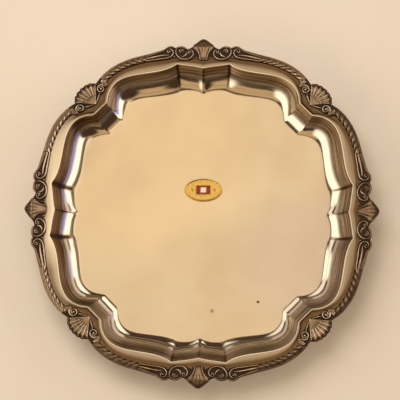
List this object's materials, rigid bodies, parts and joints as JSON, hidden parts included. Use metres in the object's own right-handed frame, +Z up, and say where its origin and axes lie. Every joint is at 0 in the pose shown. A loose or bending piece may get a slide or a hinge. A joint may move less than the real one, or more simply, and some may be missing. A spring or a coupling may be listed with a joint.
{
  "type": "silver salver",
  "caption": "Square silver salver with shaped corners, a deep hollow-walled well, a cast gadrooned border with shells, cast feet and a small riveted enamelled badge.",
  "frame": {"origin": "middle of the footprint at the level of the feet's soles", "axes": "+Z up out of the well, +Y north: towards the side nearest the badge; +X east"},
  "size_m": [0.305, 0.305, 0.0359],
  "materials": {
    "polished_silver": "polished silver, hazed and finely scratched on the flat",
    "cast_silver": "cast silver, bright on the high parts and oxidised in the grooves",
    "gilt": "polished gilt",
    "red_enamel": "glossy vitreous enamel",
    "white_enamel": "glossy vitreous enamel"
  },
  "bodies": {
    "root": {"salver_body": "polished_silver", "side_shell_north": "cast_silver", "side_shell_east": "cast_silver", "side_shell_south": "cast_silver", "side_shell_west": "cast_silver", "gadroon_north_ne": "cast_silver", "gadroon_north_nw": "cast_silver", "gadroon_east_ne": "cast_silver", "gadroon_east_se": "cast_silver", "gadroon_south_se": "cast_silver", "gadroon_south_sw": "cast_silver", "gadroon_west_sw": "cast_silver", "gadroon_west_nw": "cast_silver", "corner_shell_ne": "cast_silver", "corner_shell_se": "cast_silver", "corner_shell_sw": "cast_silver", "corner_shell_nw": "cast_silver", "foot_ne": "cast_silver", "foot_se": "cast_silver", "foot_sw": "cast_silver", "foot_nw": "cast_silver", "badge_plate": "gilt", "badge_enamel_red": "red_enamel", "badge_enamel_white": "white_enamel", "badge_pin_west": "gilt", "badge_pin_east": "gilt"}
  },
  "joints": []
}
